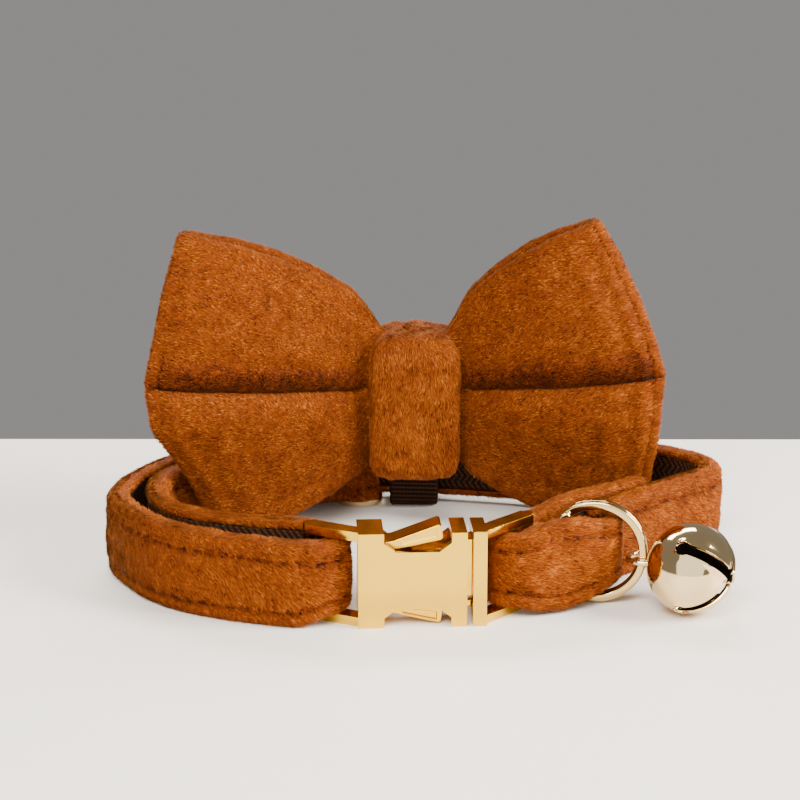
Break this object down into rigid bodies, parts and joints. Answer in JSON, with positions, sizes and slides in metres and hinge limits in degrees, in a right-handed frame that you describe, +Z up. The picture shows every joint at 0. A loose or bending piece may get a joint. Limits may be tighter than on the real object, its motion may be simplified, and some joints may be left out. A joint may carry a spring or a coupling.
{
  "type": "pet bow tie collar",
  "caption": "Plush strap collar for a cat or small dog with a metal side release buckle, a bell on a split ring and a padded bow tie.",
  "frame": {"origin": "middle of the outline's foot, on the surface that the collar stands on", "axes": "+X to the wearer's bell side seen from the buckle, +Y from the buckle to the bow, +Z up"},
  "size_m": [0.0984, 0.0652, 0.0538],
  "materials": {
    "plush": "short dense plush pile",
    "webbing": "coarse woven webbing",
    "gold_metal": "polished light gold plating",
    "pale_metal": "polished champagne plating"
  },
  "bodies": {
    "collar": {"strap_cover": "plush", "strap_webbing": "webbing", "ring_tab": "plush", "buckle_socket": "gold_metal", "buckle_prong": "gold_metal", "strap_slider": "gold_metal", "split_ring": "pale_metal", "bell": "pale_metal", "bow_wing_left": "plush", "bow_wing_right": "plush", "bow_knot": "plush", "bow_keeper": "webbing"},
    "upper_lever": {"release_lever_upper": "gold_metal"},
    "lower_lever": {"release_lever_lower": "gold_metal"}
  },
  "joints": [
    {"name": "upper_lever_press", "type": "hinge", "parent": "collar", "child": "upper_lever", "pos_m": [-0.00636, -0.02861, 0.0122], "axis": [-0.061, 0.9981, 0], "range_deg": [0, 7], "stiffness_Nm_per_rad": 0.02, "springref_deg": -5.73},
    {"name": "lower_lever_press", "type": "hinge", "parent": "collar", "child": "lower_lever", "pos_m": [-0.00636, -0.02861, 0.0024], "axis": [0.061, -0.9981, 0], "range_deg": [0, 7], "stiffness_Nm_per_rad": 0.02, "springref_deg": -5.73}
  ]
}
